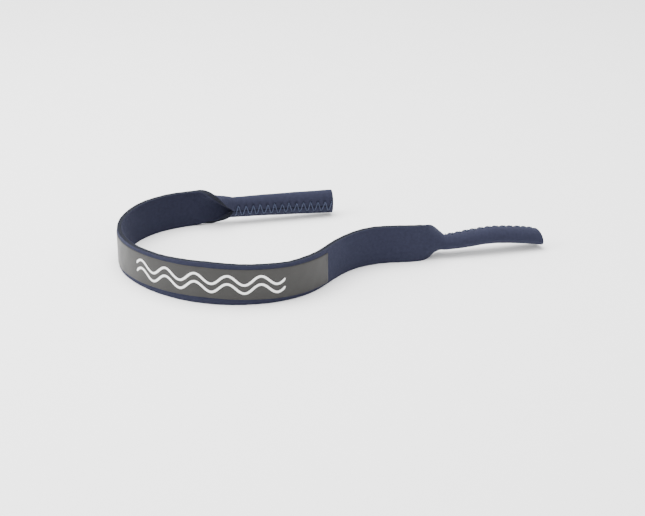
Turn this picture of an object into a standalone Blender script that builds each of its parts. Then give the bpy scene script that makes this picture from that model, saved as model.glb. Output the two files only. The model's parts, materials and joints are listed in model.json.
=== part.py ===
"""Neoprene eyewear retainer: a band standing on its long edge, rolled and sewn into a sleeve at each end.

The strap is one flat strip of foam between two knit faces. A point of it is found from s, the distance
along the strip, w, the distance across it, and t, the depth through it. The strip follows a plan curve
on its long edge, and towards each end its two edges roll over the inner face until they meet in a seam.
The soft band is cut into rigid lengths that turn about upright axes, so that it can bend.
"""

import math

import bmesh
import bpy
import numpy as np

MM = 0.001

# Lengths along the strip, in millimetres, from the start of the left sleeve's seam curve.
LEFT_TIP, LEFT_SEAM = -50.0, 8.0
RIGHT_SEAM, RIGHT_TIP = 317.0, 380.0
CURVE_END = 318.0
PANEL_START, PANEL_END = 90.0, 247.0

# The plan curve: (length, turn to the left) of each stretch, and the length over which they ease together.
BENDS = (
    (15, 0), (25, 10), (80, 99), (40, 31), (50, 44), (35, 43), (16, -8), (35, -50), (14, 11), (8, 0)
)
EASE = 14.0
STEP = 0.5
FIRST_HEADING = math.pi

# Width of the flat strip, at distances along it.
WIDTH_AT = (LEFT_TIP, LEFT_SEAM, 20.0, 130.0, 175.0, 220.0, 305.0, RIGHT_SEAM, RIGHT_TIP)
WIDTH_IS = (30.0, 30.0, 20.5, 20.5, 22.0, 20.5, 20.5, 30.0, 30.0)
PANEL_WIDTH = 16.5

# The laminate, from the outer face inwards.
THICKNESS = 2.8
KNIT = 0.35
LAYER_GAP = 0.25
FOAM = THICKNESS - 2 * (KNIT + LAYER_GAP)
FILM = 0.2
FILM_GAP = 0.2

# Sleeves: round tubes. Each has the height of its centre and how far its seam is turned up from the strip's
# inner side. SLEEVE_IN is how far the centre stands in from the strip, and ROLL_LIFT keeps the turning lower
# edge off the ground.
SEAM_GAP = 0.6
ROLL_LENGTH = 16.0
SLEEVE_IN = 4.3
ROLL_LIFT = 1.6
SLEEVES = {
    "left": {"height": 7.9, "seam_turn": math.radians(-14.0)},
    "right": {"height": 8.4, "seam_turn": math.radians(50.0)},
}

# Sewing: a zigzag of needle thread outside each seam, and a narrower one of bobbin thread inside.
STITCH_PITCH = 4.3
NEEDLE_HALF_WIDTH = 2.2
NEEDLE_THREAD = 0.5
BOBBIN_HALF_WIDTH = 0.8
BOBBIN_THREAD = 0.3
THREAD_GAP = 0.25
SEAM_MARGIN = 1.5

# Joints: distance along the strip and the widest turn that the ends leave room for.
TWIST_GAP = 0.2
BEND_GAP = 0.15
BENDS_AT = {"neck_left": 26.0, "left": 78.0, "front_left": 130.0, "front_right": 190.0, "right": 250.0,
            "neck_right": 299.0}
WIDEST_TURN = math.radians(60.0)

BODIES = {
    "sleeve_left": (LEFT_TIP, LEFT_SEAM),
    "neck_left": (LEFT_SEAM, BENDS_AT["neck_left"]),
    "band_left": (BENDS_AT["neck_left"], BENDS_AT["left"]),
    "band_front_left": (BENDS_AT["left"], BENDS_AT["front_left"]),
    "band_front": (BENDS_AT["front_left"], BENDS_AT["front_right"]),
    "band_front_right": (BENDS_AT["front_right"], BENDS_AT["right"]),
    "band_right": (BENDS_AT["right"], BENDS_AT["neck_right"]),
    "neck_right": (BENDS_AT["neck_right"], RIGHT_SEAM),
    "sleeve_right": (RIGHT_SEAM, RIGHT_TIP),
}
# Each body hangs from the one beside it that is nearer the front.
PARENTS = {
    "band_front": None,
    "band_front_left": "band_front",
    "band_left": "band_front_left",
    "neck_left": "band_left",
    "sleeve_left": "neck_left",
    "band_front_right": "band_front",
    "band_right": "band_front_right",
    "neck_right": "band_right",
    "sleeve_right": "neck_right",
}

COLOURS = {
    "knit": ((0.055, 0.065, 0.125, 1.0), 0.85),
    "foam": ((0.030, 0.032, 0.045, 1.0), 0.95),
    "lining": ((0.040, 0.046, 0.090, 1.0), 0.90),
    "panel": ((0.130, 0.125, 0.118, 1.0), 0.45),
    "thread": ((0.190, 0.230, 0.320, 1.0), 0.60),
}


def smooth(value):
    value = min(max(value, 0.0), 1.0)
    return value * value * (3 - 2 * value)


def plan_curve():
    """Distance along, x, y and heading, every STEP from 0 to CURVE_END, centred on its own box."""
    curvature = np.concatenate([
        np.full(round(length / STEP), math.radians(turn) / length) for length, turn in BENDS
    ])
    window = round(EASE / STEP)
    padded = np.pad(curvature, window)
    curvature = np.convolve(padded, np.ones(window) / window, "same")[window:-window]
    heading = FIRST_HEADING + np.concatenate([[0.0], np.cumsum(curvature * STEP)])
    middle = (heading[1:] + heading[:-1]) / 2
    x = np.concatenate([[0.0], np.cumsum(np.cos(middle) * STEP)])
    y = np.concatenate([[0.0], np.cumsum(np.sin(middle) * STEP)])
    along = np.arange(len(x)) * STEP
    outer_face = THICKNESS / 2 + FILM_GAP + FILM
    sleeve_radius = (WIDTH_IS[0] - SEAM_GAP) / (2 * math.pi) + THICKNESS / 2
    reach_x = [x.min() - outer_face, x[-1] + RIGHT_TIP - CURVE_END]
    reach_y = [y.min() - outer_face, y.max() + sleeve_radius - SLEEVE_IN]
    return along, x - sum(reach_x) / 2, y - sum(reach_y) / 2, heading


ALONG, PLAN_X, PLAN_Y, HEADING = plan_curve()


def plan_point(s):
    """(x, y, heading) at s: straight before the curve's start and after its end."""
    inside = min(max(s, 0.0), CURVE_END)
    heading = float(np.interp(inside, ALONG, HEADING))
    beyond = s - inside
    x = float(np.interp(inside, ALONG, PLAN_X)) + beyond * math.cos(heading)
    y = float(np.interp(inside, ALONG, PLAN_Y)) + beyond * math.sin(heading)
    return x, y, heading


def strip_width(s):
    return float(np.interp(s, WIDTH_AT, WIDTH_IS))


def side_of(s):
    return "left" if s < CURVE_END / 2 else "right"


def rolled(s):
    """How far the strip is rolled up at s: 0 is flat, and 1 is a closed tube."""
    if side_of(s) == "left":
        return smooth((LEFT_SEAM + ROLL_LENGTH - s) / ROLL_LENGTH)
    return smooth((s - RIGHT_SEAM + ROLL_LENGTH) / ROLL_LENGTH)


def section_point(s, fraction):
    """The middle of the strip's thickness at this fraction of its width, as (inwards, up). The section is an
    arc, which the roll turns from a straight upright line into a closed circle."""
    side = side_of(s)
    roll = rolled(s)
    width = strip_width(s)
    sewn = width - SEAM_GAP * roll
    seam_turn = SLEEVES[side]["seam_turn"]
    radius = sewn / (2 * math.pi)
    flat = np.array([0.0, width / 2])
    tube = np.array([SLEEVE_IN, SLEEVES[side]["height"]])
    tube -= radius * np.array([math.cos(seam_turn), math.sin(seam_turn)])
    middle = flat + (tube - flat) * roll + np.array([0.0, ROLL_LIFT * math.sqrt(roll) * (1 - roll)])
    along = (fraction - 0.5) * sewn
    if roll == 0:
        return middle + np.array([0.0, along])
    bend = roll / radius
    start = math.pi / 2 + roll * seam_turn
    end = start - bend * along
    return middle + np.array([math.sin(start) - math.sin(end), math.cos(end) - math.cos(start)]) / bend


def middle_point(s, fraction):
    """A point in the middle of the strip's thickness, in millimetres."""
    x, y, heading = plan_point(s)
    inwards, up = section_point(s, fraction)
    return np.array([x - math.sin(heading) * inwards, y + math.cos(heading) * inwards, up])


def strip_point(s, fraction, depth):
    """The point of the strip at s and this fraction of its width, this deep from its middle towards its
    inner side, in metres."""
    low, high = max(fraction - 0.01, 0.0), min(fraction + 0.01, 1.0)
    across = middle_point(s, high) - middle_point(s, low)
    lengthways = middle_point(s + 0.2, fraction) - middle_point(s - 0.2, fraction)
    normal = np.cross(across, lengthways)
    return (middle_point(s, fraction) + normal * depth / np.linalg.norm(normal)) * MM


def joint_place(name):
    """Where the body turns on its parent, in metres."""
    if name == "sleeve_left" or name == "sleeve_right":
        side = name.split("_")[1]
        x, y, heading = plan_point(LEFT_SEAM if side == "left" else RIGHT_SEAM)
        inwards = SLEEVE_IN
        z = SLEEVES[side]["height"]
        return ((x - math.sin(heading) * inwards) * MM, (y + math.cos(heading) * inwards) * MM, z * MM)
    first, last = BODIES[name]
    if name == "band_front":
        x, y, _ = plan_point((first + last) / 2)
    else:
        x, y, _ = plan_point(last if "left" in name else first)
    return (x * MM, y * MM, 0.0)


def clearance(s, reach):
    """How far a layer that reaches this deep stops short of the joint at s."""
    if s in (LEFT_TIP, RIGHT_TIP):
        return 0.0
    if s in (LEFT_SEAM, RIGHT_SEAM):
        return TWIST_GAP
    return BEND_GAP + reach * math.tan(WIDEST_TURN / 2)


def material(name):
    found = bpy.data.materials.get(name)
    if found:
        return found
    colour, roughness = COLOURS[name]
    made = bpy.data.materials.new(name)
    made.use_nodes = True
    shader = made.node_tree.nodes["Principled BSDF"]
    shader.inputs["Base Color"].default_value = colour
    shader.inputs["Roughness"].default_value = roughness
    return made


def place(name, mesh, body, finish, collection):
    """An object for the mesh, whose points are in the strap's frame, moved onto its body's joint."""
    mesh.transform(EMPTIES[body].matrix_world.inverted())
    obj = bpy.data.objects.new(name, mesh)
    obj.parent = EMPTIES[body]
    obj.data.materials.append(material(finish))
    obj.data.shade_smooth()
    collection.objects.link(obj)


def stations(first, last, spacing):
    return np.linspace(first, last, max(2, round((last - first) / spacing) + 1))


def add_sheet(name, body, span, depth, thickness, finish, collection, band_width=None):
    """A layer of the strip: a grid that is bent onto it, given its thickness by Solidify."""
    first, last = span
    is_flat = rolled(first) == 0 and rolled(last) == 0
    is_tube = rolled(first) == 1 and rolled(last) == 1
    along = stations(first, last, 30.0 if is_tube else 3.0 if is_flat else 1.7)
    across = 1 if is_flat else 26
    grid = bmesh.new()
    bmesh.ops.create_grid(grid, x_segments=len(along) - 1, y_segments=across, size=0.5)
    for vertex in grid.verts:
        s = first + (vertex.co.x + 0.5) * (last - first)
        fraction = vertex.co.y + 0.5
        if band_width:
            fraction = 0.5 + (fraction - 0.5) * band_width / strip_width(s)
        vertex.co = strip_point(s, fraction, depth)
    mesh = bpy.data.meshes.new(name)
    grid.to_mesh(mesh)
    grid.free()
    place(name, mesh, body, finish, collection)
    solid = bpy.data.objects[name].modifiers.new("thickness", "SOLIDIFY")
    solid.thickness = thickness * MM
    solid.offset = 0.0
    solid.use_even_offset = True


def add_layers(body, collection):
    """The foam core and the two knit faces of one body."""
    first, last = BODIES[body]
    knit_depth = (THICKNESS - KNIT) / 2
    layers = (
        ("outer_knit", -knit_depth, KNIT, "knit", THICKNESS / 2),
        ("foam_core", 0.0, FOAM, "foam", FOAM / 2),
        ("lining", knit_depth, KNIT, "lining", THICKNESS / 2),
    )
    for layer, depth, thickness, finish, reach in layers:
        span = (first + clearance(first, reach), last - clearance(last, reach))
        add_sheet(f"{body}_{layer}", body, span, depth, thickness, finish, collection)


def add_panel(body, collection):
    """The length of the soft-touch panel that lies on one body."""
    reach = THICKNESS / 2 + FILM_GAP + FILM
    first, last = BODIES[body]
    start = max(first + clearance(first, reach), PANEL_START)
    end = min(last - clearance(last, reach), PANEL_END)
    depth = -(THICKNESS / 2 + FILM_GAP + FILM / 2)
    add_sheet(f"{body}_panel", body, (start, end), depth, FILM, "panel", collection, PANEL_WIDTH)


def seam_point(s, offset, depth):
    """A point beside the seam: offset is measured round the tube from the seam."""
    fraction = 1 - abs(offset) / strip_width(s)
    if offset < 0:
        fraction = 1 - fraction
    return strip_point(s, fraction, depth)


def add_zigzag(name, body, span, depth, half_width, diameter, collection):
    """One thread that runs to and fro across the seam, with three points to each crossing."""
    first, last = span
    crossings = round((last - first) / (STITCH_PITCH / 2))
    offsets = (-1.0, -0.34, 0.34)
    points = []
    for index in range(crossings * 3 + 1):
        turn, step = divmod(index, 3)
        offset = offsets[step] * half_width
        s = first + (last - first) * index / (crossings * 3)
        points.append(seam_point(s, offset if turn % 2 == 0 else -offset, depth))
    curve = bpy.data.curves.new(name, "CURVE")
    curve.dimensions = "3D"
    curve.bevel_depth = diameter / 2 * MM
    curve.bevel_resolution = 1
    curve.use_fill_caps = True
    spline = curve.splines.new("POLY")
    spline.points.add(len(points) - 1)
    for target, point in zip(spline.points, points):
        target.co = (*point, 1.0)
    shape = bpy.data.objects.new(name + "_route", curve)
    collection.objects.link(shape)
    bpy.context.view_layer.update()
    graph = bpy.context.evaluated_depsgraph_get()
    mesh = bpy.data.meshes.new_from_object(shape.evaluated_get(graph))
    bpy.data.objects.remove(shape)
    welded = bmesh.new()
    welded.from_mesh(mesh)
    bmesh.ops.remove_doubles(welded, verts=welded.verts, dist=1e-6)
    welded.to_mesh(mesh)
    welded.free()
    mesh.materials.clear()
    place(name, mesh, body, "thread", collection)


def add_seam(side, collection):
    """The needle thread outside one sleeve's seam and the bobbin thread inside it."""
    body = f"sleeve_{side}"
    first, last = BODIES[body]
    span = (first + SEAM_MARGIN, last - SEAM_MARGIN)
    outside = -(THICKNESS / 2 + THREAD_GAP + NEEDLE_THREAD / 2)
    inside = THICKNESS / 2 + THREAD_GAP + BOBBIN_THREAD / 2
    add_zigzag(f"{body}_needle_thread", body, span, outside, NEEDLE_HALF_WIDTH, NEEDLE_THREAD, collection)
    add_zigzag(f"{body}_bobbin_thread", body, span, inside, BOBBIN_HALF_WIDTH, BOBBIN_THREAD, collection)


def add_empties(collection):
    """One empty on each body's joint, each a child of the body that it turns on."""
    made = {}
    for name, parent in PARENTS.items():
        empty = bpy.data.objects.new(f"{name}_joint", None)
        empty.empty_display_size = 0.005
        empty.location = joint_place(name)
        if parent:
            empty.parent = made[parent]
            above = joint_place(parent)
            empty.location = [here - there for here, there in zip(joint_place(name), above)]
        collection.objects.link(empty)
        made[name] = empty
    bpy.context.view_layer.update()
    return made


for old in list(bpy.data.objects):
    bpy.data.objects.remove(old)

STRAP = bpy.data.collections.new("eyewear_retainer_strap")
bpy.context.scene.collection.children.link(STRAP)
EMPTIES = add_empties(STRAP)

for body_name in BODIES:
    add_layers(body_name, STRAP)
for body_name in ("band_front_left", "band_front", "band_front_right"):
    add_panel(body_name, STRAP)
for side_name in SLEEVES:
    add_seam(side_name, STRAP)
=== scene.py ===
"""Looks of the neoprene eyewear retainer: knit-faced foam, soft-touch panel, printed waves and sewn sleeves.

The strap is described in its own coordinates, in millimetres: s along it, w across it from its centre line
and t through it, from the outer side to the inner side. strap_points turns these into metres in the CAD's
frame, along the same plan curve as the CAD's.
"""

import json
import math

import bpy
import numpy as np
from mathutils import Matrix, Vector


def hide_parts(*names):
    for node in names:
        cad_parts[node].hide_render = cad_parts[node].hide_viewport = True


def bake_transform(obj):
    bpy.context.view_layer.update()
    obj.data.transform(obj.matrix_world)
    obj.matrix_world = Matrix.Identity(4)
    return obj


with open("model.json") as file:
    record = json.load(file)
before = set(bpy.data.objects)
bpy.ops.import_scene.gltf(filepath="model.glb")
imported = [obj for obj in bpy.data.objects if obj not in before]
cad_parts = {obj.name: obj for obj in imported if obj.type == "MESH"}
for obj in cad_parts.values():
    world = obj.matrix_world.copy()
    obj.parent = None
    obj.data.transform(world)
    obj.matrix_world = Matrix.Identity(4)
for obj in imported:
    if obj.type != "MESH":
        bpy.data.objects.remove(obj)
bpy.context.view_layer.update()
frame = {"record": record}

MM = 0.001
JOINTS = {joint["name"]: joint for joint in frame["record"]["behaviour"]["joints"]}

# The strap's route on the ground: (length, turn to the left) of each stretch, eased together.
BENDS = (
    (15, 0), (25, 10), (80, 99), (40, 31), (50, 44), (35, 43), (16, -8), (35, -50), (14, 11), (8, 0)
)
EASE = 14.0
STEP = 0.5
LEFT_TIP, LEFT_SEAM = -50.0, 9.0
RIGHT_SEAM, RIGHT_TIP = 324.5, 380.0
# Where along the strap the CAD's left twist joint lies, and how far its axis is in from the strip's line.
TWIST_AT = 8.0
SLEEVE_IN = 4.3

# The flat width of the strip, at distances along it.
WIDTHS = (
    (LEFT_TIP, 28.3), (LEFT_SEAM, 23.5), (22.0, 20.7), (60.0, 21.2), (95.0, 20.5), (130.0, 21.0),
    (175.0, 23.2), (220.0, 21.0), (250.0, 20.7), (285.0, 21.5), (306.0, 20.8), (RIGHT_SEAM, 21.2),
    (338.0, 24.0), (RIGHT_TIP, 25.4),
)
WIDTH_AT, WIDTH_IS = zip(*WIDTHS)

# The strip rolls up over this length before each seam, slowly at first and then faster by this power.
LEFT_ROLL, LEFT_ROLL_POWER = 22.5, 1.5
RIGHT_ROLL, RIGHT_ROLL_POWER = 18.0, 2.0
SEAM_GAP = 0.3
# The oval that each sleeve rolls into: its centre in from the strip's line and up from the ground, how much
# narrower and taller it is than a circle, and how far its seam is turned up from the inner side. Half rolled
# up, the strip leans further by fold_first, and it is lifted by a part of lift.
OVAL_LEFT = {
    "inwards": 3.0, "up": 9.65, "narrow": 0.75, "tall": 1.28, "seam_turn": math.radians(-14.0),
    "fold_first": math.radians(-24.0), "lift": 7.0,
}
OVAL_RIGHT = {
    "inwards": 4.1, "up": 7.7, "narrow": 1.15, "tall": 0.84, "seam_turn": math.radians(50.0),
    "fold_first": math.radians(-18.0), "lift": 1.5,
}
LIFT_POWER = 0.8
LEFT_DROOP, LEFT_DROOP_LENGTH, LEFT_DROOP_POWER = 1.5, 58.0, 1.5
RIGHT_ARCH, RIGHT_ARCH_LENGTH = 2.1, 32.0
RIGHT_DROOP, RIGHT_DROOP_LENGTH, RIGHT_DROOP_POWER = 4.0, 42.0, 2.2
RIGHT_SLANT, RIGHT_SLANT_LENGTH = 1.5, 14.0
# The left neck's lower edge stays down and curls in until the strip is rolled up as far as LAG_ENDS, and
# then it catches up. It comes no lower than about LOWER_EDGE_LEAST above the ground.
LOWER_EDGE_LAG, LOWER_EDGE_CURL, LAG_ENDS = 12.0, 10.0, 0.6
LOWER_EDGE_LEAST, LOWER_EDGE_EASE = 1.4, 5.0
# How far the whole strap is raised, to keep its uneven lower edge above the ground.
STANDS_UP = 0.11

# The laminate: half its thickness, each knit, and the foam between them, which ends short of their edges.
HALF = 1.4
KNIT = 0.38
KNIT_INSET = 0.02
CORNER = 0.16
CORNER_SHOULDER = 0.05
CORNER_IN = np.array([CORNER, CORNER_SHOULDER, 0.0, 0.0])
CORNER_DOWN = np.array([0.0, CORNER_SHOULDER, CORNER, KNIT])
FOAM_RECESS = 0.12
FOAM_BULGE = 0.10 * np.array([0.0, 0.7, 1.0, 0.7, 0.0])
# Slight unevenness of the faces and of the cut edges.
RIPPLE_LONG, RIPPLE_SHORT = 0.035, 0.025
WANDER_LONG, WANDER_SHORT = 0.07, 0.04

# The film: where its middle lies across the strip at its ends and at the front, and the rings of points that
# round its border, as shares of its corner and of its thickness. Its back lies in the knit by PANEL_SINKS.
PANEL_START, PANEL_END = 90.0, 247.0
PANEL_HALF_WIDTH = 8.5
PANEL_AT_END, PANEL_AT_FRONT = -0.8, 0.6
PANEL_THICKNESS = 0.32
PANEL_CORNER = 0.25
PANEL_RINGS_OUT = np.array([0.45, 0.8, 1.0])
PANEL_RINGS_RISE = np.array([0.9, 0.66, 0.35])
PANEL_SINKS = -0.5
PANEL_FACE_POINTS = 19

# Printed waves.
PRINT_START, PRINT_END = 132.0, 217.0
PRINT_THICKNESS = 0.05
WAVE_LENGTH = 17.0
WAVE_HEIGHT = 2.5
WAVE_APART = 4.6
WAVE_STROKE = 1.25

# Sewing: the zigzag, how much of it is rounded, how uneven it is and how soon it sinks to its holes, and where
# each thread lies from the laminate's middle. No thread runs along THREAD_SIDE_FROM.
STITCH_PITCH = 4.3
STITCH_HALF_WIDTH = 2.2
STITCH_MARGIN = 0.8
STITCH_ROUND = 0.25
STITCH_UNEVEN_ALONG, STITCH_UNEVEN_ACROSS = 0.10, 0.12
STITCH_SINKS_OVER, STITCH_SINKS_POWER = 3.2, 0.6
STITCH_POINTS = 10
NEEDLE_RADIUS = 0.27
NEEDLE_OVER, NEEDLE_IN_HOLE = -(HALF + 0.04), -(HALF - 0.75)
BOBBIN_RADIUS = 0.16
BOBBIN_HALF_WIDTH = 0.8
BOBBIN_OVER, BOBBIN_IN_HOLE = HALF + 0.12, HALF - 0.4
THREAD_SIDES = 8
THREAD_SIDE_FROM = (0.0, 0.31, 0.95)

# What the sewing presses into the outer face, as depths and widths: a groove where the edges meet, a hollow
# beside it and a dimple at each needle hole. They begin DIP_STARTS outside the zigzag and are whole after
# DIP_EASE. The foam and the knit's back follow by DIP_INSIDE.
GROOVE_DEPTH, GROOVE_WIDTH = 0.42, 0.8
HOLLOW_DEPTH, HOLLOW_WIDTH, HOLLOW_AT = 0.10, 1.4, 1.2
HOLE_DEPTH, HOLE_LENGTH, HOLE_WIDTH = 1.0, 0.75, 0.65
DIP_STARTS, DIP_EASE = 2, 3
DIP_INSIDE = 0.9

# How finely the meshes follow the strap. PROBE is half the distance over which its directions are measured.
STATION, FINE_STATION, PRINT_STATION = 1.0, 0.55, 0.4
LEFT_FINE_TO, RIGHT_FINE_FROM = 30, 290
RIM_LENGTH = 0.25
RIM_STATIONS = np.array([0.05, 0.13, RIM_LENGTH])
SEAM_INSETS = np.array([0.35, 0.7, 1.1, 1.5, 1.9, 2.3, 2.7, 3.2, 3.8])
FACE_POINTS, FACE_INSET = 13, 4.6
PROBE = 0.2
SHARP_ANGLE = math.radians(50)

# The furthest to each side of its joint at which a piece's end points are found, and the least length worth a
# piece of its own. The share that a closed roll takes off the lining's stated area. The lining's real cut is
# as large as the outer knit's.
BEND_REACH = 24.0
LEAST_PIECE = 0.01

# The fabrics' grain.
LOOP_WIDTH = 0.62
LOOP_LENGTH = 0.48
PLY_LENGTH = 0.9
FOAM_CELLS, FOAM_PATCHES = 3800.0, 900.0

# The studio: the camera, and each softbox with its place, size and power.
CAMERA_PLACE = (-0.1750, -0.7421, 0.3435)
CAMERA_TURN = math.radians(-13.0)
CAMERA_PITCH = math.radians(24.5)
CAMERA_LENS = 83.7
SENSOR_WIDTH = 36.0
CLIP_START = 0.01
FLOOR_HALF = 3.0
WORLD_STRENGTH = 1.4
LIGHTS = (
    ("top_softbox", (-0.15, 0.15, 1.0), 0.9, 26.0),
    ("front_fill", (0.25, -0.95, 0.75), 0.9, 2.0),
    ("left_strip", (-0.85, 0.05, 0.45), 0.6, 8.0),
)
LIGHTS_AIM = (0.0, 0.0, 0.01)

BODIES = (
    "sleeve_left", "neck_left", "band_left", "band_front_left", "band_front",
    "band_front_right", "band_right", "neck_right", "sleeve_right",
)
JOINT_ORDER = (
    "left_sleeve_twist", "left_neck_bend", "left_bend", "front_left_bend",
    "front_right_bend", "right_bend", "right_neck_bend", "right_sleeve_twist",
)


# ---- the strap's own coordinates ----


def smooth(value):
    value = np.clip(value, 0.0, 1.0)
    return value * value * (3 - 2 * value)


def plan_curve():
    """Distance along, x, y and heading every STEP, placed so that TWIST_AT is beside the left twist axis."""
    curvature = np.concatenate([
        np.full(round(length / STEP), math.radians(turn) / length) for length, turn in BENDS
    ])
    window = round(EASE / STEP)
    padded = np.pad(curvature, window)
    curvature = np.convolve(padded, np.ones(window) / window, "same")[window:-window]
    heading = math.pi + np.concatenate([[0.0], np.cumsum(curvature * STEP)])
    middle = (heading[1:] + heading[:-1]) / 2
    x = np.concatenate([[0.0], np.cumsum(np.cos(middle) * STEP)])
    y = np.concatenate([[0.0], np.cumsum(np.sin(middle) * STEP)])
    along = np.arange(len(x)) * STEP
    seam_x, seam_y, _ = JOINTS["left_sleeve_twist"]["pos_m"]
    x += seam_x / MM - np.interp(TWIST_AT, along, x)
    y += seam_y / MM + SLEEVE_IN - np.interp(TWIST_AT, along, y)
    return along, x, y, heading


ALONG, PLAN_X, PLAN_Y, HEADING = plan_curve()


def plan_point(s):
    inside = np.clip(s, 0.0, ALONG[-1])
    heading = np.interp(inside, ALONG, HEADING)
    x = np.interp(inside, ALONG, PLAN_X) + (s - inside) * np.cos(heading)
    y = np.interp(inside, ALONG, PLAN_Y) + (s - inside) * np.sin(heading)
    return x, y, heading


def joint_along(name):
    """How far along the strap a joint of the CAD lies."""
    x, y, _ = JOINTS[name]["pos_m"]
    return float(ALONG[np.argmin(np.hypot(PLAN_X - x / MM, PLAN_Y - y / MM))])


def strip_width(s):
    return np.interp(s, WIDTH_AT, WIDTH_IS)


def rolled(s):
    """How far the strip is rolled up: 0 is flat, and 1 is a closed tube."""
    left = np.clip((LEFT_SEAM + LEFT_ROLL - s) / LEFT_ROLL, 0, 1) ** LEFT_ROLL_POWER
    right = np.clip((s - RIGHT_SEAM + RIGHT_ROLL) / RIGHT_ROLL, 0, 1) ** RIGHT_ROLL_POWER
    return left + right


def oval(s, key):
    return np.where(s < ALONG[-1] / 2, OVAL_LEFT[key], OVAL_RIGHT[key])


def sag(s):
    """How far a sleeve lies below its height at the seam's start. The right one arches up before its tip."""
    left = LEFT_DROOP * np.clip((LEFT_SEAM - s) / LEFT_DROOP_LENGTH, 0, 1) ** LEFT_DROOP_POWER
    arch = RIGHT_ARCH * smooth((s - RIGHT_SEAM) / RIGHT_ARCH_LENGTH)
    past = np.clip((s - RIGHT_TIP + RIGHT_DROOP_LENGTH) / RIGHT_DROOP_LENGTH, 0, 1)
    return left - arch + RIGHT_DROOP * past ** RIGHT_DROOP_POWER


def slant(s, w):
    """How far the slanting cut of the right tip moves a point along the strap."""
    near_tip = smooth((s - RIGHT_TIP + RIGHT_SLANT_LENGTH) / RIGHT_SLANT_LENGTH)
    return RIGHT_SLANT * np.cos(2 * math.pi * w / strip_width(s)) * near_tip


def strap_middle(s, w):
    """The middle of the strap's thickness, in millimetres. Its section is an arc, from a line to an oval."""
    roll = rolled(s)
    width = strip_width(s)
    x, y, heading = plan_point(s + slant(s, w))
    sewn = width - SEAM_GAP * roll
    radius = sewn / (2 * math.pi)
    turn = oval(s, "seam_turn")
    centre_in, centre_up = oval(s, "inwards"), oval(s, "up") - sag(s)
    along = w * sewn / width
    half_angle = roll * along / (2 * radius)
    chord = along * np.sinc(half_angle / math.pi)
    lean = roll * turn + oval(s, "fold_first") * 4 * roll * (1 - roll)
    direction = math.pi / 2 + lean - half_angle
    lift = oval(s, "lift") * roll ** LIFT_POWER * (1 - roll)
    inwards = (centre_in - radius * np.cos(turn)) * roll + chord * np.cos(direction)
    middle_up = width / 2 * (1 - roll) + (centre_up - radius * np.sin(turn)) * roll
    up = middle_up + chord * np.sin(direction) + lift
    inwards = centre_in + (inwards - centre_in) * (1 + (oval(s, "narrow") - 1) * roll)
    up = centre_up + (up - centre_up) * (1 + (oval(s, "tall") - 1) * roll)
    lower_left = np.clip(-2 * w / width, 0, 1) * (s < ALONG[-1] / 2)
    lag = np.sqrt(roll) * (1 - roll) * (LAG_ENDS - roll) * lower_left
    lowered = up - LOWER_EDGE_LAG * lag
    least = LOWER_EDGE_LEAST * (1 - np.exp(-np.maximum(up, 0.0) / LOWER_EDGE_LEAST))
    up = (lowered + least + np.hypot(lowered - least, LOWER_EDGE_EASE * lag)) / 2 + STANDS_UP
    inwards += LOWER_EDGE_CURL * lag
    return np.stack([x - np.sin(heading) * inwards, y + np.cos(heading) * inwards, up], -1)


def strap_points(s, w, t):
    """Points of the strap in metres, for arrays of one shape."""
    s, w, t = np.broadcast_arrays(*(np.asarray(value, float) for value in (s, w, t)))
    limit = strip_width(s) / 2
    low, high = np.maximum(w - PROBE, -limit), np.minimum(w + PROBE, limit)
    across = strap_middle(s, high) - strap_middle(s, low)
    lengthways = strap_middle(s + PROBE, w) - strap_middle(s - PROBE, w)
    normal = np.cross(across, lengthways)
    normal /= np.linalg.norm(normal, axis=-1, keepdims=True)
    return (strap_middle(s, w) + normal * t[..., None]) * MM


# ---- meshes ----


def mesh_object(name, points, faces, uv, material):
    """uv holds one (s, w) pair for each point, in millimetres."""
    mesh = bpy.data.meshes.new(name)
    mesh.from_pydata(points.reshape(-1, 3).tolist(), [], faces)
    layer = mesh.uv_layers.new(name="strap")
    corner = np.empty(len(mesh.loops), np.int32)
    mesh.loops.foreach_get("vertex_index", corner)
    layer.data.foreach_set("uv", uv.reshape(-1, 2)[corner].ravel())
    mesh.materials.append(material)
    mesh.shade_smooth()
    obj = bpy.data.objects.new(name, mesh)
    bpy.context.scene.collection.objects.link(obj)
    return obj


def loft(name, points, uv, material):
    """A closed body through the rings of points, with a flat cap at each end."""
    rings, sides = points.shape[:2]
    faces = [
        (a * sides + b, a * sides + (b + 1) % sides, (a + 1) * sides + (b + 1) % sides, (a + 1) * sides + b)
        for a in range(rings - 1) for b in range(sides)
    ]
    faces.append(tuple(reversed(range(sides))))
    faces.append(tuple(range((rings - 1) * sides, rings * sides)))
    obj = mesh_object(name, points, faces, uv, material)
    obj.data.set_sharp_from_angle(angle=SHARP_ANGLE)
    return obj


def loft_section(name, s, w, t, material):
    """A body along the strap: w and t hold one closed section for each s."""
    points = strap_points(s[:, None], w, t)
    uv = np.stack([np.broadcast_to(s[:, None], w.shape), w + t], -1)
    return loft(name, points, uv, material)


def tube(name, path, radius, material):
    """A round thread along the points, with its own length and turn as UV."""
    step = np.gradient(path, axis=0)
    step /= np.linalg.norm(step, axis=1, keepdims=True)
    side = np.cross(step, THREAD_SIDE_FROM)
    side /= np.linalg.norm(side, axis=1, keepdims=True)
    other = np.cross(step, side)
    angle = np.linspace(0, 2 * math.pi, THREAD_SIDES, endpoint=False)[None, :, None]
    points = path[:, None] + radius * (side[:, None] * np.cos(angle) + other[:, None] * np.sin(angle))
    length = np.concatenate([[0.0], np.cumsum(np.linalg.norm(np.diff(path, axis=0), axis=1))]) / MM
    around = np.broadcast_to(np.arange(THREAD_SIDES) / THREAD_SIDES, (len(path), THREAD_SIDES))
    uv = np.stack([np.broadcast_to(length[:, None], around.shape), around], -1)
    return loft(name, points, uv, material)


# ---- the sections of the layers ----


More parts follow.
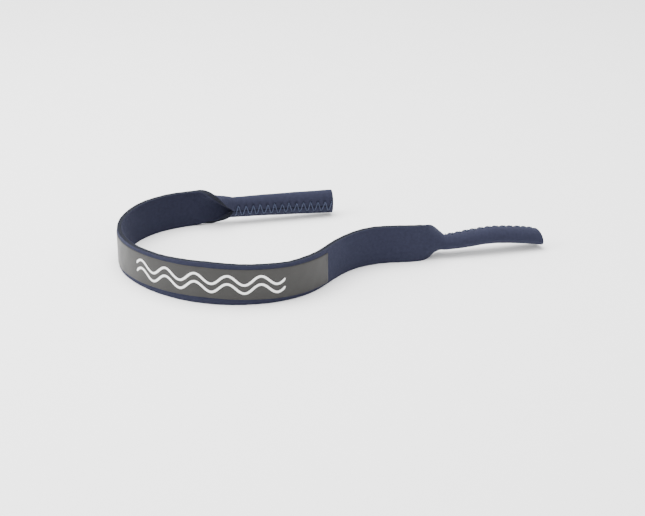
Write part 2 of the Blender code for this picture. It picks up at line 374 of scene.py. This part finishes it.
def mid_stations(first, last):
    """Distances along a stretch: fine where the strip rolls and is sewn, and finest at a tip's rounded end."""
    spacing = FINE_STATION if last < LEFT_FINE_TO or first > RIGHT_FINE_FROM else STATION
    s = np.linspace(first, last, round((last - first) / spacing) + 1)
    if first == LEFT_TIP:
        s = np.concatenate([[first], first + RIM_STATIONS, s[1:]])
    if last == RIGHT_TIP:
        s = np.concatenate([s[:-1], last - RIM_STATIONS[::-1], [last]])
    return s


def rim_rounding(s):
    """How far a face of the laminate draws in at the sleeves' cut ends."""
    near = np.minimum(s - LEFT_TIP, RIGHT_TIP - s)
    short = np.clip(1 - near / RIM_LENGTH, 0, 1)
    return CORNER * (1 - np.sqrt(np.clip(1 - short ** 2, 0, 1)))


def across(half):
    """Points across the strip from edge to edge, closer together beside the seam."""
    middle = np.linspace(-1, 1, FACE_POINTS)[None, :] * (half[:, None] - FACE_INSET)
    left = -(half[:, None] - SEAM_INSETS[None, :])
    return np.concatenate([left, middle, -left[:, ::-1]], axis=1)


def stitch_row(side):
    """The distances along one sleeve at which its zigzag turns."""
    first, last = (LEFT_TIP, LEFT_SEAM) if side == "left" else (RIGHT_SEAM, RIGHT_TIP)
    first, last = first + STITCH_MARGIN, last - STITCH_MARGIN
    count = round((last - first) / (STITCH_PITCH / 2))
    return np.linspace(first, last, count + 1)


def sewn_dip(s, w):
    """How far the sewing pulls the outer face in: along the butted edges, and round each needle hole."""
    from_edge = strip_width(s) / 2 - np.abs(w)
    dip = np.zeros(np.broadcast_shapes(s.shape, w.shape))
    for side in ("left", "right"):
        turns = stitch_row(side)
        from_ends = s - turns[0] + DIP_STARTS, turns[-1] + DIP_STARTS - s
        inside = smooth(from_ends[0] / DIP_EASE) * smooth(from_ends[1] / DIP_EASE)
        groove = GROOVE_DEPTH * np.exp(-(from_edge / GROOVE_WIDTH) ** 2)
        hollow = HOLLOW_DEPTH * np.exp(-((from_edge - HOLLOW_AT) / HOLLOW_WIDTH) ** 2)
        holes = np.zeros_like(dip)
        for parity in (0, 1):
            row = turns[parity::2]
            nearest = row[np.argmin(np.abs(s[..., None] - row), axis=-1)]
            on_side = (w > 0) if parity == 0 else (w < 0)
            apart = ((s - nearest) / HOLE_LENGTH) ** 2 + ((from_edge - STITCH_HALF_WIDTH) / HOLE_WIDTH) ** 2
            holes += np.where(on_side, HOLE_DEPTH * np.exp(-apart), 0)
        dip += inside * (groove + hollow + holes)
    return dip


def ripple(s, w):
    """Slight unevenness of the soft laminate's face."""
    long = np.sin(0.33 * s + 1.7 * np.sin(0.21 * w))
    short = np.sin(0.71 * s - 0.4 * w + 1.1)
    return RIPPLE_LONG * long + RIPPLE_SHORT * short


def cut_edges(s, half):
    """The two cut edges across the strip, a little uneven where it isn't rolled up."""
    edges = []
    for sign in (1.0, -1.0):
        wander = WANDER_LONG * np.sin(0.27 * s + 2.1 * sign) + WANDER_SHORT * np.sin(0.93 * s + sign)
        edges.append((sign * half + wander * (1 - rolled(s)))[:, None])
    return edges


def face_layer(name, s, outer, material):
    """The outer knit or the lining: a thin body with the strip's cut corners rounded."""
    half = strip_width(s) / 2 - KNIT_INSET
    sign = -1.0 if outer else 1.0
    w = across(half)
    face_t = sign * (HALF - rim_rounding(s)[:, None])
    face = face_t * np.ones_like(w)
    if outer:
        face += sewn_dip(s[:, None], w) + ripple(s[:, None], w)
    upper, lower = cut_edges(s, half)
    up_w = upper - CORNER_IN
    low_w = lower + CORNER_IN
    edge_dip = sewn_dip(s[:, None], up_w) if outer else 0.0
    corner_t = face_t - sign * CORNER_DOWN + edge_dip
    back_w = w[:, ::3]
    back_dip = DIP_INSIDE * sewn_dip(s[:, None], back_w) if outer else 0.0
    back_t = np.full_like(back_w, sign * (HALF - KNIT)) + back_dip
    w_ring = np.concatenate([w, up_w, back_w[:, ::-1], low_w[:, ::-1]], axis=1)
    t_ring = np.concatenate([face, corner_t, back_t[:, ::-1], corner_t[:, ::-1]], axis=1)
    if not outer:
        w_ring, t_ring = w_ring[:, ::-1], t_ring[:, ::-1]
    return loft_section(name, s, w_ring, t_ring, material)


def foam_layer(name, s, material):
    """The foam core, whose cut edges stand a little back from the knits with a soft bulge."""
    reach = HALF - KNIT
    half = strip_width(s) / 2 - FOAM_RECESS
    w = across(half)[:, ::2]
    edge_t = np.linspace(-reach, reach, len(FOAM_BULGE))[None, :] * np.ones((len(s), 1))
    upper, lower = cut_edges(s, half)
    up_w = upper + FOAM_BULGE
    low_w = lower - FOAM_BULGE
    w_ring = np.concatenate([w, up_w, w[:, ::-1], low_w], axis=1)
    outer_t = np.full_like(w, -reach) + DIP_INSIDE * sewn_dip(s[:, None], w)
    t_ring = np.concatenate([outer_t, edge_t, np.full_like(w, reach), edge_t[:, ::-1]], axis=1)
    return loft_section(name, s, w_ring, t_ring, material)


def panel_centre(s):
    """The panel's middle across the strip: the band's lower edge bows away from it at the front."""
    middle = (PANEL_START + PANEL_END) / 2
    share = np.clip(1 - ((s - middle) / (PANEL_END - middle)) ** 2, 0, 1)
    return PANEL_AT_END + (PANEL_AT_FRONT - PANEL_AT_END) * share


def panel_layer(name, s, material):
    """The soft-touch film: a thin body on the outer knit with rounded borders."""
    near_end = np.minimum(s - PANEL_START, PANEL_END - s)
    short = np.clip(1 - near_end / PANEL_CORNER, 0, 1)
    draw_in = PANEL_CORNER * (1 - np.sqrt(np.clip(1 - short ** 2, 0, 1)))
    flat_half = PANEL_HALF_WIDTH - PANEL_CORNER
    border = flat_half + PANEL_CORNER * PANEL_RINGS_OUT
    offset = np.concatenate([
        np.linspace(-1, 1, PANEL_FACE_POINTS) * flat_half, border,
        [PANEL_HALF_WIDTH, -PANEL_HALF_WIDTH], -border[::-1],
    ])
    rise = PANEL_THICKNESS * np.concatenate([
        np.ones(PANEL_FACE_POINTS), PANEL_RINGS_RISE, [PANEL_SINKS, PANEL_SINKS], PANEL_RINGS_RISE[::-1],
    ])
    w = panel_centre(s)[:, None] + offset
    t = -(HALF + rise[None, :] - draw_in[:, None]) + ripple(s[:, None], w)
    return loft_section(name, s, w, t, material)


def print_layer(name, s, line, material):
    """One printed wave: a low ribbon on the panel with round ends."""
    phase = 2 * math.pi * (s - PRINT_START) / WAVE_LENGTH
    near_end = np.minimum(s - PRINT_START, PRINT_END - s)
    half = WAVE_STROKE / 2
    end = np.sqrt(np.clip(1 - np.clip(1 - near_end / half, 0, 0.999) ** 2, 0, 1))
    slope = WAVE_HEIGHT * 2 * math.pi / WAVE_LENGTH * np.cos(phase)
    stroke = half * end * np.sqrt(1 + slope ** 2)
    middle = panel_centre(s) + line * WAVE_APART / 2 + WAVE_HEIGHT * np.sin(phase)
    side = np.array([-1.0, -0.5, 0.0, 0.5, 1.0, 1.0, -1.0])
    rise = np.array([1.0, 1.0, 1.0, 1.0, 1.0, -1.0, -1.0]) * PRINT_THICKNESS
    w = middle[:, None] + stroke[:, None] * side
    t = -(HALF + PANEL_THICKNESS + rise[None, :]) + ripple(s[:, None], w)
    return loft_section(name, s, w, t, material)


def zigzag_path(side, half_width, t_between, t_hole):
    """Points of a zigzag across one seam. It dips to t_hole at each turn, where it goes through."""
    turns = stitch_row(side)
    share = np.arange((len(turns) - 1) * STITCH_POINTS + 1) / STITCH_POINTS
    cross = 1 - 2 * np.abs((share + 1) % 2 - 1)
    soft = np.sin(cross * math.pi / 2) * STITCH_ROUND + cross * (1 - STITCH_ROUND)
    uneven = np.interp(share, np.arange(len(turns)), np.sin(2.3 * np.arange(len(turns)) ** 1.2))
    shifted = share + STITCH_UNEVEN_ALONG * uneven * np.clip(share / 2, 0, 1)
    s = turns[0] + shifted * (turns[1] - turns[0])
    offset = soft * half_width * (1 + STITCH_UNEVEN_ACROSS * uneven)
    w = np.where(offset > 0, strip_width(s) / 2 - offset, -strip_width(s) / 2 - offset)
    above = np.clip((1 - np.abs(cross)) * STITCH_SINKS_OVER, 0, 1) ** STITCH_SINKS_POWER
    depth = t_hole + (t_between - t_hole) * above
    return strap_points(s, w, depth)


# ---- materials ----


def shader_of(name, colour, roughness):
    material = bpy.data.materials.new(name)
    material.use_nodes = True
    shader = material.node_tree.nodes["Principled BSDF"]
    shader.inputs["Base Color"].default_value = (*colour, 1.0)
    shader.inputs["Roughness"].default_value = roughness
    return material, material.node_tree.nodes, material.node_tree.links, shader


def maths(nodes, links, operation, first, second=0.0):
    node = nodes.new("ShaderNodeMath")
    node.operation = operation
    for socket, value in zip(node.inputs, (first, second)):
        if isinstance(value, (int, float)):
            socket.default_value = value
        else:
            links.new(value, socket)
    return node.outputs[0]


def strap_uv(nodes, links):
    """The two strap coordinates, in millimetres."""
    uv = nodes.new("ShaderNodeUVMap")
    uv.uv_map = "strap"
    split = nodes.new("ShaderNodeSeparateXYZ")
    links.new(uv.outputs["UV"], split.inputs[0])
    return uv.outputs["UV"], split.outputs["X"], split.outputs["Y"]


def noise(nodes, links, vector, scale, detail):
    node = nodes.new("ShaderNodeTexNoise")
    node.inputs["Scale"].default_value = scale
    node.inputs["Detail"].default_value = detail
    links.new(vector, node.inputs["Vector"])
    return node.outputs[0]


def object_position(nodes):
    return nodes.new("ShaderNodeTexCoord").outputs["Object"]


def weighted(nodes, links, *terms):
    """The sum of each (value, weight)."""
    total = None
    for value, weight in terms:
        part = maths(nodes, links, "MULTIPLY", value, weight)
        total = part if total is None else maths(nodes, links, "ADD", total, part)
    return total


def tint(nodes, links, shader, tone, colour, *stops):
    """The base colour by tone: at each stop's (tone, shade) it is the colour times the shade."""
    node = nodes.new("ShaderNodeValToRGB")
    for element, (place, shade) in zip(node.color_ramp.elements, stops):
        element.position = place
        element.color = (*(shade * value for value in colour), 1.0)
    links.new(tone, node.inputs[0])
    links.new(node.outputs[0], shader.inputs["Base Color"])


def bump(nodes, links, shader, height, distance, strength):
    node = nodes.new("ShaderNodeBump")
    node.inputs["Strength"].default_value = strength
    node.inputs["Distance"].default_value = distance
    links.new(height, node.inputs["Height"])
    links.new(node.outputs[0], shader.inputs["Normal"])


def knit(name, colour, sheen):
    """Nylon jersey: columns of small V-shaped loops, with a slightly heathered colour and a soft sheen."""
    material, nodes, links, shader = shader_of(name, colour, 0.86)
    vector, along, over = strap_uv(nodes, links)
    column = maths(nodes, links, "MULTIPLY", over, 1 / LOOP_WIDTH)
    lean = maths(nodes, links, "PINGPONG", column, 0.5)
    row = maths(nodes, links, "ADD", maths(nodes, links, "MULTIPLY", along, 1 / LOOP_LENGTH), lean)
    loop = maths(nodes, links, "SINE", maths(nodes, links, "MULTIPLY", row, 2 * math.pi))
    valley = maths(nodes, links, "SINE", maths(nodes, links, "MULTIPLY", lean, 2 * math.pi))
    relief = weighted(nodes, links, (loop, 0.35), (valley, 1.0))
    mottle = noise(nodes, links, vector, 0.55, 5.0)
    fuzz = noise(nodes, links, vector, 3.5, 2.0)
    bump(nodes, links, shader, weighted(nodes, links, (relief, 1.0), (mottle, 2.5)), 0.00007, 0.7)
    tone = weighted(nodes, links, (relief, 0.16), (mottle, 0.55), (fuzz, 0.35))
    tint(nodes, links, shader, tone, colour, (0.2, 0.72), (0.85, 1.32))
    shader.inputs["Sheen Weight"].default_value = sheen
    shader.inputs["Sheen Roughness"].default_value = 0.45
    shader.inputs["Sheen Tint"].default_value = (0.62, 0.68, 1.0, 1.0)
    shader.inputs["Specular IOR Level"].default_value = 0.08
    return material


def foam(name, colour):
    """Closed-cell foam where the strip is cut: fine pores and a dull, uneven grey."""
    material, nodes, links, shader = shader_of(name, colour, 0.95)
    position = object_position(nodes)
    cells = nodes.new("ShaderNodeTexVoronoi")
    cells.inputs["Scale"].default_value = FOAM_CELLS
    links.new(position, cells.inputs["Vector"])
    patches = noise(nodes, links, position, FOAM_PATCHES, 4.0)
    bump(nodes, links, shader, cells.outputs["Distance"], 0.00009, 0.8)
    tone = weighted(nodes, links, (cells.outputs["Distance"], 0.5), (patches, 0.7))
    tint(nodes, links, shader, tone, colour, (0.25, 0.6), (0.85, 1.5))
    shader.inputs["Specular IOR Level"].default_value = 0.08
    return material


def soft_touch(name, colour):
    """A satin film: a fine skin grain, and broad patches that are slightly duller."""
    material, nodes, links, shader = shader_of(name, colour, 0.40)
    vector, _, _ = strap_uv(nodes, links)
    grain = noise(nodes, links, vector, 2.6, 4.0)
    wear = noise(nodes, links, vector, 0.16, 5.0)
    bump(nodes, links, shader, weighted(nodes, links, (grain, 1.0), (wear, 1.5)), 0.00006, 0.6)
    tone = weighted(nodes, links, (grain, 0.4), (wear, 0.6))
    tint(nodes, links, shader, tone, colour, (0.3, 0.86), (0.7, 1.14))
    roughness = maths(nodes, links, "ADD", maths(nodes, links, "MULTIPLY", wear, 0.18), 0.34)
    links.new(roughness, shader.inputs["Roughness"])
    shader.inputs["Specular IOR Level"].default_value = 0.22
    return material


def print_ink(name, colour):
    """Screen-printed ink: nearly white, a little thin in places."""
    material, nodes, links, shader = shader_of(name, colour, 0.5)
    vector, _, _ = strap_uv(nodes, links)
    cover = noise(nodes, links, vector, 2.0, 5.0)
    tint(nodes, links, shader, cover, colour, (0.35, 0.90), (0.6, 1.0))
    bump(nodes, links, shader, cover, 0.00003, 0.5)
    return material


def thread(name, colour):
    """Twisted polyester: slanted plies that repeat along the thread."""
    material, nodes, links, shader = shader_of(name, colour, 0.55)
    vector, along, around = strap_uv(nodes, links)
    turn = weighted(nodes, links, (along, 1 / PLY_LENGTH), (around, 1.0))
    ply = maths(nodes, links, "SINE", maths(nodes, links, "MULTIPLY", turn, 2 * math.pi))
    fibre = noise(nodes, links, vector, 6.0, 3.0)
    bump(nodes, links, shader, weighted(nodes, links, (ply, 1.0), (fibre, 1.0)), 0.00006, 0.8)
    tone = weighted(nodes, links, (ply, 0.25), (fibre, 0.8))
    tint(nodes, links, shader, tone, colour, (0.15, 0.65), (0.75, 1.25))
    shader.inputs["Specular IOR Level"].default_value = 0.2
    return material


def paper(name, colour, roughness):
    """A studio floor: nearly even, with a trace of grain."""
    material, nodes, links, shader = shader_of(name, colour, roughness)
    speck = noise(nodes, links, object_position(nodes), 40.0, 4.0)
    tint(nodes, links, shader, speck, colour, (0.3, 0.99), (0.7, 1.0))
    return material


MATERIALS = {
    "outer_knit": knit("navy_knit", (0.0182, 0.0195, 0.0355), 0.08),
    "lining": knit("navy_lining", (0.0145, 0.0155, 0.029), 0.05),
    "foam": foam("cut_foam", (0.012, 0.013, 0.018)),
    "panel": soft_touch("soft_touch_film", (0.0270, 0.0262, 0.0250)),
    "print": print_ink("white_ink", (0.85, 0.85, 0.84)),
    "thread": thread("steel_blue_thread", (0.044, 0.054, 0.095)),
    "floor": paper("studio_floor", (0.97, 0.97, 0.97), 0.9),
}


# ---- the pieces, each across one joint of the CAD ----


def stretches():
    """(body, next body, first, last, joint) of each visible length of strap, meeting in the bodies' middles."""
    at = [joint_along(name) for name in JOINT_ORDER]
    cuts = [LEFT_TIP] + [(a + b) / 2 for a, b in zip(at, at[1:])] + [RIGHT_TIP]
    return list(zip(BODIES, BODIES[1:], cuts, cuts[1:], at))


def bend(obj, stretch):
    """Bakes the piece's transform into its mesh. Its reach and end points about the stretch's joint are found
    but not used.
    """
    body, following, first, last, joint = stretch
    reach = min(joint - first, last - joint, BEND_REACH)
    start, end = (strap_points(joint + away, 0.0, 0.0) for away in (-reach, reach))
    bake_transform(obj)


def is_within(first, last, stretch):
    return max(first, stretch[2]) < min(last, stretch[3]) - LEAST_PIECE


def dress_stretch(stretch):
    """The two knit faces and the foam of one stretch."""
    body, following, first, last, _ = stretch
    s = mid_stations(first, last)
    bodies = (body,) if following != BODIES[-1] else (body, following)
    core = foam_layer(f"foam_{body}", s, MATERIALS["foam"])
    faces = (
        face_layer(f"outer_knit_{body}", s, True, MATERIALS["outer_knit"]),
        face_layer(f"lining_{body}", s, False, MATERIALS["lining"]),
    )
    names = (("foam_core", "foam"), ("outer_knit", "outer_knit"), ("lining", "lining"))
    for piece, (node, name) in zip((core, *faces), names):
        bend(piece, stretch)
        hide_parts(*(f"{owner}_{node}" for owner in bodies))


def dress_panel(stretch):
    """The film and the printed waves that lie on one stretch."""
    body, following, first, last, _ = stretch
    first, last = max(first, PANEL_START), min(last, PANEL_END)
    s = np.linspace(first, last, round(last - first) + 1)
    film = panel_layer(f"panel_{body}", s, MATERIALS["panel"])
    bend(film, stretch)
    if is_within(PRINT_START, PRINT_END, stretch):
        first, last = max(first, PRINT_START), min(last, PRINT_END)
        s = np.linspace(first, last, round((last - first) / PRINT_STATION) + 1)
        for line, label in ((-1, "lower"), (1, "upper")):
            wave = print_layer(f"printed_wave_{label}_{body}", s, line, MATERIALS["print"])
            bend(wave, stretch)
    return film


def dress_seam(side, stretch):
    """The needle and bobbin threads of one sleeve."""
    rows = (
        ("needle", STITCH_HALF_WIDTH, NEEDLE_RADIUS, NEEDLE_OVER, NEEDLE_IN_HOLE),
        ("bobbin", BOBBIN_HALF_WIDTH, BOBBIN_RADIUS, BOBBIN_OVER, BOBBIN_IN_HOLE),
    )
    for row, half_width, radius, between, hole in rows:
        path = zigzag_path(side, half_width, between, hole)
        piece = tube(f"{row}_thread_{side}", path, radius * MM, MATERIALS["thread"])
        bend(piece, stretch)
        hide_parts(f"sleeve_{side}_{row}_thread")


# ---- the studio ----


def add_camera():
    data = bpy.data.cameras.new("camera")
    data.lens = CAMERA_LENS
    data.sensor_width = SENSOR_WIDTH
    data.clip_start = CLIP_START
    camera = bpy.data.objects.new("camera", data)
    camera.location = CAMERA_PLACE
    camera.rotation_euler = (math.pi / 2 - CAMERA_PITCH, 0.0, CAMERA_TURN)
    bpy.context.scene.collection.objects.link(camera)
    bpy.context.scene.camera = camera


def add_light(name, place, size, power):
    """A square softbox that faces the strap."""
    data = bpy.data.lights.new(name, "AREA")
    data.size = size
    data.energy = power
    light = bpy.data.objects.new(name, data)
    light.location = place
    aim = Vector(LIGHTS_AIM) - light.location
    light.rotation_euler = aim.to_track_quat("-Z", "Y").to_euler()
    bpy.context.scene.collection.objects.link(light)


def add_studio():
    corners = FLOOR_HALF * np.array([(-1.0, -1.0, 0.0), (1.0, -1.0, 0.0), (1.0, 1.0, 0.0), (-1.0, 1.0, 0.0)])
    floor = mesh_object("studio_floor", corners, [(0, 1, 2, 3)], corners[:, :2], MATERIALS["floor"])
    world = bpy.data.worlds.new("studio")
    world.use_nodes = True
    background = world.node_tree.nodes["Background"]
    background.inputs["Color"].default_value = (1.0, 1.0, 1.0, 1.0)
    background.inputs["Strength"].default_value = WORLD_STRENGTH
    bpy.context.scene.world = world
    for light in LIGHTS:
        add_light(*light)
    add_camera()


STRETCHES = stretches()
for each in STRETCHES:
    dress_stretch(each)
films = {each[0]: dress_panel(each) for each in STRETCHES if is_within(PANEL_START, PANEL_END, each)}
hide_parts("band_front_left_panel")
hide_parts("band_front_left_panel", "band_front_panel")
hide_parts("band_front_panel", "band_front_right_panel")
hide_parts("band_front_right_panel")
dress_seam("left", STRETCHES[0])
dress_seam("right", STRETCHES[-1])
add_studio()
